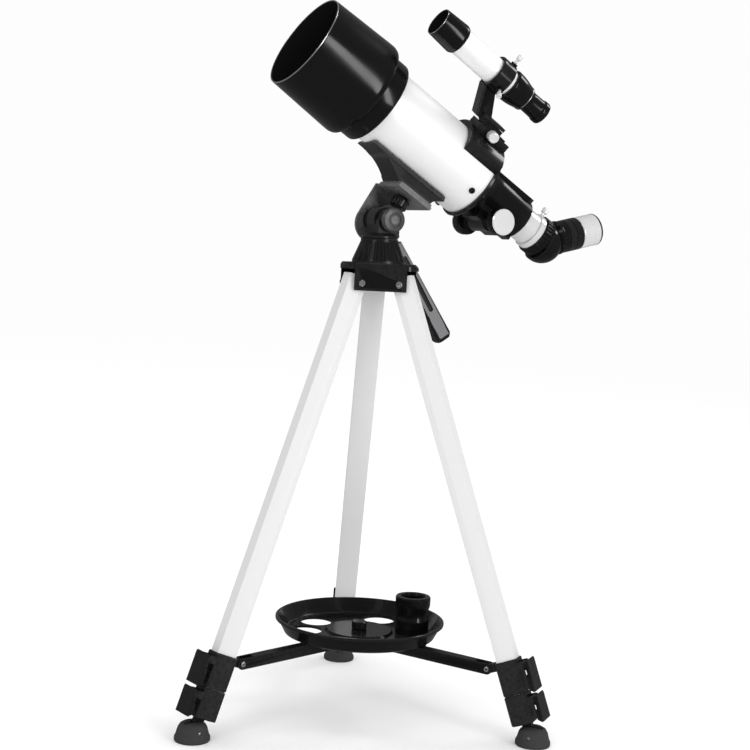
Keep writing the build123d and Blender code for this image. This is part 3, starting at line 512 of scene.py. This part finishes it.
class TelescopeSizes(bpy.types.PropertyGroup):
    """Sizes that change the look without moving a joint."""

    edge: bpy.props.FloatProperty(
        name="Edge rounding", description="Rounding of the moulded pieces' edges", default=0.0004,
        min=0.0, max=0.002, unit="LENGTH")
    rim: bpy.props.FloatProperty(
        name="Rim height", description="Height of the bright ring round the dew shield's mouth",
        default=0.0006,
        min=0.0002, max=0.003, unit="LENGTH")
    flutes: bpy.props.IntProperty(
        name="Knob flutes", description="Flutes round each focus knob", default=40, min=12, max=80)
    knurls: bpy.props.IntProperty(
        name="Ring knurls", description="Ribs round the locking ring", default=30, min=12, max=60)


class TelescopeColors(bpy.types.PropertyGroup):
    """Colours of the main finishes."""

    plastic: bpy.props.FloatVectorProperty(
        name="Plastic", description="Glossy moulded pieces", default=(0.004, 0.004, 0.0045), min=0.0, max=1.0,
        subtype="COLOR")
    tube: bpy.props.FloatVectorProperty(
        name="Tube", description="Enamel of the main tube and the finder", default=(0.7, 0.7, 0.705), min=0.0,
        max=1.0, subtype="COLOR")
    legs: bpy.props.FloatVectorProperty(
        name="Legs", description="Coating of the leg tubes", default=(0.66, 0.66, 0.665), min=0.0, max=1.0,
        subtype="COLOR")


# ---------------------------------------------------------------- operators

class TELESCOPE_OT_dew_shield(bpy.types.Operator):
    """Tapered hood with a flat black lining and a bright ring round its mouth"""

    bl_idname = "telescope.dew_shield"
    bl_label = "Dew shield"

    def execute(self, context):
        hood = [(46.3, 0.4, 0.2, 0), (47.5, 0.2, 0.3, 0), (47.9, 1.0, 0.5, 0), (50.6, 66, 5, 0),
                (50.75, 72, 3, 0),
                (49.6, 76.0, 2.2, 0), (46.4, 77.5, 1.2, 0), (42.06, 77.5, 0.2, 0), (42.06, 64, 0.3, 1),
                (46.8, 64, 0.5, 1), (48.6, 60, 1.0, 1), (46.3, 10, 3, 1)]
        shield = lathe("dew_shield_shell", [(tube_frame(), hood, None)], [gloss_black(), inner_black()],
                       128, 6)
        stand_for(shield, "dew_shield")
        high = 0.35
        low = high - context.scene.telescope_sizes.rim / MM
        edge = lathe("dew_shield_rim", [(tube_frame(), ring(47.75, 46.75, low, high + 0.3, 0.25), None)],
                     [turned_steel()], 128)
        trim(edge, "dew_shield")
        return {"FINISHED"}


class TELESCOPE_OT_optical_tube(bpy.types.Operator):
    """Lens cell, enamelled tube and the lenses"""

    bl_idname = "telescope.optical_tube"
    bl_label = "Optical tube"

    def execute(self, context):
        collar = [(33, 82, 0.2, 1), (33, 84, 0.2, 1), (37, 84, 0, 1), (37, 85.9, 0, 1), (38.02, 85.9, 0, 0),
                  (38.02, 95.5, 0.2, 0), (42.6, 95.5, 0.9, 0), (43.9, 94.0, 1.2, 0), (43.9, 77.9, 0.5, 0),
                  (42, 77.9, 0, 0), (42, 62, 0.4, 0), (40.5, 61, 0.4, 1), (35.1, 61, 0.3, 1),
                  (35.1, 82, 0, 1)]
        retainer = ring(35, 32.5, 66, 69.4, 0.4, 1)
        cell = lathe("lens_cell_collar", [(tube_frame(), collar, None), (tube_frame(), retainer, None)],
                     [gloss_black(), inner_black()], 128)
        stand_for(cell, "lens_cell")
        wall = [(37, 86, 0.1, 1), (38, 86, 0.2, 0), (38, 224, 0.2, 0), (37, 224, 0.1, 1)]
        tube = lathe("main_tube_shell", [(tube_frame(), wall, None)], [white_enamel(), inner_black()], 128)
        stand_for(tube, "main_tube")
        cad_copy("tube_screws", satin_black())
        for node in ("objective_lens", "finder_lens", "diagonal_prism"):
            dress(node, coated_glass())
        return {"FINISHED"}


class TELESCOPE_OT_focuser(bpy.types.Operator):
    """Focuser casting, drawtube with its rack, and the focus knobs"""

    bl_idname = "telescope.focuser"
    bl_label = "Focuser"

    def execute(self, context):
        cad_copy("focuser_body", gloss_black())
        cad_copy("drawtube", bright_chrome())
        cad_copy("focus_shaft", bright_chrome())
        place = joint_place("focus_turn")
        parts = []
        for side in (-1, 1):
            knob = [(2.0, 24, 0, 0), (6, 24, 0.5, 0), (7, 27.4, 0.4, 0), (12.4, 27.4, 0.8, 0),
                    (13.6, 28.6, 0.8, 0),
                    (13.6, 37.0, 0.8, 0), (12.6, 38.1, 0.6, 0), (2.0, 38.1, 0, 0)]
            flutes = (context.scene.telescope_sizes.flutes, 0.45, 13.0)
            parts.append((turning_frame(place, side * AXIS_X, AXIS_Z), knob, flutes))
        knobs = lathe("focus_knob_grips", parts, [gloss_black()])
        stand_for(knobs, "focus_knobs")
        grip = [(15.98, 0.3, 0.2, 0), (20, 0.3, 0.5, 0), (21.2, 1.2, 0.6, 0), (21.2, 11.2, 0.6, 0),
                (20, 12.1, 0.5, 0),
                (15.98, 12.1, 0.2, 0)]
        knurls = (context.scene.telescope_sizes.knurls, 0.9, 20.4)
        locking = lathe("lock_ring_grip", [(tube_frame(316), grip, knurls)], [gloss_black()])
        stand_for(locking, "lock_ring")
        place = radial_frame(MOUTH, UP, AXIS_X, 10, 313, 16.4)
        screw = lathe("drawtube_thumbscrew", thumbscrew(place, 1.55, 3.4, 6.2, 12.0), [bright_chrome()], 24)
        stand_for(screw, "drawtube_screw")
        return {"FINISHED"}


class TELESCOPE_OT_diagonal(bpy.types.Operator):
    """Diagonal with its grooved holder, and the eyepiece"""

    bl_idname = "telescope.diagonal"
    bl_label = "Diagonal and eyepiece"

    def execute(self, context):
        cad_copy("diagonal_body", gloss_black())
        sleeve = [(13.6, 21, 0.2, 0), (15.875, 21, 0.3, 0), (15.875, 42.3, 0, 0), (16.2, 42.3, 0.1, 0),
                  (16.7, 43.0, 0.3, 0), (16.7, 63.6, 0.3, 1), (16.9, 64.4, 0.4, 1), (16.0, 66, 0.8, 1),
                  (11.5, 66, 0.6, 1), (11.0, 62.5, 0.4, 1), (13.6, 58, 0.4, 1)]
        field = [(0, 24, 0, 2), (13.6, 25, 0, 2), (13.6, 28, 0, 2), (0, 30, 0, 2)]
        eye = [(0, 61.6, 0, 2), (11.2, 60.6, 0, 2), (12.1, 59, 0, 2), (0, 57, 0, 2)]
        place = outlet_frame()
        piece = lathe("eyepiece_sleeve", [(place, sleeve, None), (place, field, None), (place, eye, None)],
                      [bright_chrome(), gloss_black(), coated_glass()], 96)
        stand_for(piece, "eyepiece_body")
        return {"FINISHED"}


class TELESCOPE_OT_finder(bpy.types.Operator):
    """Finder: hood, tube, bracket, screws and its eyepiece"""

    bl_idname = "telescope.finder"
    bl_label = "Finder"

    def execute(self, context):
        place = finder_frame()
        barrel = [(12.5, 114, 0.1, 1), (13.5, 114, 0.2, 0), (13.5, 184, 0.2, 0), (12.5, 184, 0.1, 1)]
        stand_for(lathe("finder_barrel", [(place, barrel, None)], [white_enamel(), inner_black()]),
                  "finder_tube")
        hood = [(13.4, 88.2, 0.2, 0), (14.3, 88.2, 0.4, 0), (15.6, 111, 2, 0), (15.7, 114.5, 1.0, 0),
                (14.4, 117.2, 0.8, 0), (13.5, 117.2, 0.1, 0), (13.5, 113.9, 0, 1), (12.6, 113.9, 0.1, 1),
                (12.6, 110, 0.3, 1), (13.6, 108, 0.5, 1)]
        stand_for(lathe("finder_front_hood", [(place, hood, None)], [gloss_black(), inner_black()]),
                  "finder_hood")
        edge = lathe("finder_front_rim", [(place, ring(14.2, 13.55, 87.85, 88.5, 0.2), None)],
                     [turned_steel()])
        trim(edge, "finder")
        shell = [(12.34, 184.4, 0, 0), (15.6, 184.4, 0.6, 0), (16.4, 186, 0.8, 0), (15.7, 196, 4, 0),
                 (13.2, 206.5, 0.7, 0), (12.9, 209.5, 0.4, 0), (11.2, 210.5, 0.4, 0), (10.7, 213, 0.8, 0),
                 (10.9, 226, 1.0, 0), (11.9, 228, 0.8, 0), (11.9, 232.6, 0.8, 0), (11.2, 234, 0.6, 0),
                 (8.2, 234, 0.6, 0), (7.2, 231.5, 0.6, 1), (7.2, 200, 1, 1), (11.2, 190, 1, 1),
                 (11.2, 176, 0.2, 1),
                 (12.34, 176, 0.2, 0)]
        glass = [(0, 224, 0, 2), (7.2, 225, 0, 2), (7.2, 228, 0, 2), (0, 229, 0, 2)]
        back = lathe("finder_back", [(place, shell, None), (place, glass, None)],
                     [gloss_black(), inner_black(), coated_glass()])
        stand_for(back, "finder_eyepiece")
        line = lathe("finder_back_line", [(place, ring(13.35, 12.7, 207.2, 208.0, 0.2), None)],
                     [turned_steel()])
        trim(line, "finder_eyepiece")
        cad_copy("finder_bracket", gloss_black())
        parts = []
        for angle in (0, 122, 238):
            turned = radial_frame(FINDER_MOUTH, FINDER_UP, FINDER_SIDE, angle, 176, 13.52)
            parts += thumbscrew(turned, 1.5, 2.7, 9.4, 14.8)
        stand_for(lathe("finder_thumbscrews", parts, [bright_chrome()], 24), "finder_screws")
        axis = joint_axis("shoe_screw_turn")
        origin = joint_place("shoe_screw_turn") - (15 - 8.3) * MM * axis
        parts = thumbscrew(turning_frame(origin, axis, BACK), 1.95, 5.4, 9.2, 19.0)
        stand_for(lathe("shoe_thumbscrew", parts, [bright_chrome()], 24), "shoe_screw")
        return {"FINISHED"}


class TELESCOPE_OT_head(bpy.types.Operator):
    """Saddle, tilting bracket, handle, turning casting and the ribbed cone"""

    bl_idname = "telescope.head"
    bl_label = "Pan and tilt head"

    def execute(self, context):
        edge = context.scene.telescope_sizes.edge / MM
        cad_copy("saddle", satin_black(), edge)
        cad_copy("platform", bracket_grey())
        handle = cad_copy("pan_handle", satin_black(), edge)
        # Faces of the handle towards +X, its side facing the camera, take a lighter grey: a painted reflection.
        along = joint_axis("handle_twist")
        outward = unit(AXIS_X * 107.5 - along * 4.75)
        paint_beyond(handle, handle_painted_reflection(), joint_place("handle_twist") + 4.75 * MM * AXIS_X, outward,
                     -0.9 * MM)
        cad_copy("tilt_body", satin_black())
        cad_copy("platform_screw", gloss_black())
        cad_copy("head_base", satin_black())
        return {"FINISHED"}


class TELESCOPE_OT_hub(bpy.types.Operator):
    """Hub of the stand with its hollow rivets"""

    bl_idname = "telescope.hub"
    bl_label = "Hub"

    def execute(self, context):
        cad_copy("tripod_hub", gloss_black())
        cad_copy("hub_rivets", turned_steel())
        return {"FINISHED"}


class TELESCOPE_OT_legs(bpy.types.Operator):
    """Three legs with their clamps, levers and feet"""

    bl_idname = "telescope.legs"
    bl_label = "Legs"

    def execute(self, context):
        edge = context.scene.telescope_sizes.edge / MM
        for side in SIDES:
            for section in ("_leg_upper", "_leg_middle", "_leg_lower"):
                cad_copy(side + section, leg_white())
            for clamp in ("_upper_clamp", "_lower_clamp"):
                cad_copy(side + clamp, nylon_black())
            for lever in ("_upper_lever", "_lower_lever"):
                cad_copy(side + lever, nylon_black(), edge)
            cad_copy(side + "_foot", foot_rubber())
            pivot = joint_place(side + "_leg_fold")
            tube = bpy.data.objects[side + "_leg_lower_finish"]
            paint_beyond(tube, nylon_black(), pivot, joint_axis(side + "_lower_slide"), 433.5 * MM)
            self.foot_rivets(side)
        return {"FINISHED"}

    def foot_rivets(self, side):
        """Bright rivet heads at both ends of the foot's pin."""
        axis = joint_axis(side + "_foot_tilt")
        head = [(0, 12.7, 0, 0), (2.6, 12.7, 0.3, 0), (2.3, 13.9, 0.6, 0), (0, 14.3, 0, 0)]
        place = joint_place(side + "_foot_tilt")
        parts = [(turning_frame(place, way * axis, AXIS_Z), head, None) for way in (-1, 1)]
        trim(lathe(side + "_foot_rivets", parts, [turned_steel()], 24), side + "_foot")


class TELESCOPE_OT_tray(bpy.types.Operator):
    """Spreader arms, hub, accessory tray, knob and the parked eyepiece"""

    bl_idname = "telescope.tray"
    bl_label = "Tray and spreader"

    def execute(self, context):
        for side in SIDES:
            cad_copy(side + "_spreader_arm", nylon_black())
            self.arm_rivets(side)
        cad_copy("spreader_hub", nylon_black())
        cad_copy("accessory_tray", gloss_black())
        cad_copy("tray_knob", gloss_black())
        cad_copy("spare_eyepiece", gloss_black())
        return {"FINISHED"}

    def arm_rivets(self, side):
        """Bright hollow rivet heads at the outer end of a spreader arm."""
        outward = unit((joint_place(side + "_leg_fold") - STAND) * np.array((1, 1, 0)))
        centre = STAND + 137.5 * MM * outward + 66.7 * MM * AXIS_Z
        axis = joint_axis(side + "_arm_swing")
        head = [(0, 5.6, 0, 0), (2.7, 5.2, 0, 0), (2.7, 6.0, 0.4, 0), (1.9, 6.6, 0.4, 0), (0.9, 6.6, 0.2, 0),
                (0.9, 6.0, 0, 0), (0, 6.0, 0, 0)]
        parts = [(turning_frame(centre, way * axis, AXIS_Z), head, None) for way in (-1, 1)]
        trim(lathe(side + "_arm_rivets", parts, [turned_steel()], 24), side + "_arm")


class TELESCOPE_OT_stage(bpy.types.Operator):
    """Pale floor, soft light and the camera"""

    bl_idname = "telescope.stage"
    bl_label = "Stage"

    def execute(self, context):
        self.floor()
        self.lights(context)
        self.camera(context)
        return {"FINISHED"}

    def floor(self):
        """Disc r cos(a), r sin(a), 0 whose rings widen outwards."""
        radius = np.linspace(0, 1, 24)[:, None] ** 2 * 9.0
        angle = np.linspace(0, 2 * math.pi, 96, endpoint=False)[None, :]
        points = np.stack((radius * np.cos(angle), radius * np.sin(angle), 0 * radius * angle),
                          -1).reshape(-1, 3)
        points = points + STAND * np.array((1, 1, 0))
        faces = grid_faces(24, 96, 0)[: 23 * 96]
        material = finish("pale_floor", (0.98, 0.98, 0.98), (0.75, 0.85), (40.0, 0.2), specular=0.0,
                          dust=0.0, wear=0.0)
        floor = to_object("studio_floor", points, faces, np.zeros(len(faces)), [material])
        if floor.data.polygons[0].normal.z < 0:
            floor.data.flip_normals()
        floor.visible_glossy = False

    def lights(self, context):
        self.air(context)
        centre = Vector(STAND) + Vector((0, 0, 0.6))
        softboxes = (
            ("side_softbox", (0.96, 0.28, 0.02), 2.1, (0.4, 1.15), 9.0),
            ("back_softbox", (0.016, 0.848, 0.529), 2.2, (0.6, 0.6), 7.5),
            ("front_softbox", (0.43, -0.8, 0.42), 2.2, (0.4, 0.8), 4.5),
        )
        for name, direction, distance, size, radiance in softboxes:
            lamp = bpy.data.lights.new(name, "AREA")
            lamp.shape = "RECTANGLE"
            lamp.size, lamp.size_y = size
            lamp.energy = math.pi * radiance * size[0] * size[1]
            light = bpy.data.objects.new(name, lamp)
            light.location = centre + distance * Vector(direction)
            light.rotation_euler = (centre - light.location).to_track_quat("-Z", "Y").to_euler()
            light.visible_camera = False
            context.scene.collection.objects.link(light)

    def air(self, context):
        """White surroundings, dimmer in reflections so that dark gloss keeps its depth."""
        world = bpy.data.worlds.new("studio_air")
        world.use_nodes = True
        tree = world.node_tree
        output = tree.nodes["World Output"]
        path = tree.nodes.new("ShaderNodeLightPath")
        soft = tree.nodes["Background"]
        soft.inputs["Color"].default_value = (1, 1, 1, 1)
        soft.inputs["Strength"].default_value = 1.0
        previous = soft
        for ray, strength in (("Is Glossy Ray", 0.2), ("Is Camera Ray", 0.985)):
            other = tree.nodes.new("ShaderNodeBackground")
            other.inputs["Color"].default_value = (1, 1, 1, 1)
            other.inputs["Strength"].default_value = strength
            mix = tree.nodes.new("ShaderNodeMixShader")
            tree.links.new(path.outputs[ray], mix.inputs[0])
            tree.links.new(previous.outputs[0], mix.inputs[1])
            tree.links.new(other.outputs[0], mix.inputs[2])
            previous = mix
        tree.links.new(previous.outputs[0], output.inputs["Surface"])
        context.scene.world = world

    def camera(self, context):
        """Looks at the stand from its right side, a little from above, with a small roll."""
        data = bpy.data.cameras.new("studio_camera")
        data.sensor_width = 36.0
        data.lens = 71.155
        ahead = Vector((-0.87833342, 0.46997185, -0.08750347))
        upward = Vector((-0.10190161, -0.00522759, 0.99478075))
        across = ahead.cross(upward)
        camera = bpy.data.objects.new("studio_camera", data)
        rotation = Matrix((across, upward, -ahead)).transposed()
        camera.matrix_world = Matrix.Translation(
            Vector(STAND) + Vector((1.2819035, -0.6830358, 0.46653))) @ rotation.to_4x4()
        context.scene.collection.objects.link(camera)
        context.scene.camera = camera


class TELESCOPE_PT_pieces(bpy.types.Panel):
    """Lists the settings and the pieces"""

    bl_idname = "TELESCOPE_PT_pieces"
    bl_label = "Telescope on tripod"
    bl_space_type = "VIEW_3D"
    bl_region_type = "UI"
    bl_category = "Telescope"

    def draw(self, context):
        for group in (context.scene.telescope_sizes, context.scene.telescope_colors):
            box = self.layout.box()
            for name in group.__annotations__:
                box.prop(group, name)
        for operator in OPERATORS:
            self.layout.operator(operator.bl_idname)


OPERATORS = (
    TELESCOPE_OT_dew_shield, TELESCOPE_OT_optical_tube, TELESCOPE_OT_focuser, TELESCOPE_OT_diagonal,
    TELESCOPE_OT_finder, TELESCOPE_OT_head, TELESCOPE_OT_hub, TELESCOPE_OT_legs, TELESCOPE_OT_tray,
    TELESCOPE_OT_stage,
)


def register():
    for cls in (TelescopeSizes, TelescopeColors, *OPERATORS, TELESCOPE_PT_pieces):
        bpy.utils.register_class(cls)
    bpy.types.Scene.telescope_sizes = bpy.props.PointerProperty(type=TelescopeSizes)
    bpy.types.Scene.telescope_colors = bpy.props.PointerProperty(type=TelescopeColors)


def unregister():
    del bpy.types.Scene.telescope_colors
    del bpy.types.Scene.telescope_sizes
    for cls in reversed((TelescopeSizes, TelescopeColors, *OPERATORS, TELESCOPE_PT_pieces)):
        bpy.utils.unregister_class(cls)


def main():
    register()
    bpy.context.scene.view_settings.view_transform = "Standard"
    bpy.ops.telescope.dew_shield()
    bpy.ops.telescope.optical_tube()
    bpy.ops.telescope.focuser()
    bpy.ops.telescope.diagonal()
    bpy.ops.telescope.finder()
    bpy.ops.telescope.head()
    bpy.ops.telescope.hub()
    bpy.ops.telescope.legs()
    bpy.ops.telescope.tray()
    bpy.ops.telescope.stage()
    bpy.context.view_layer.update()


if __name__ == "__main__":
    main()
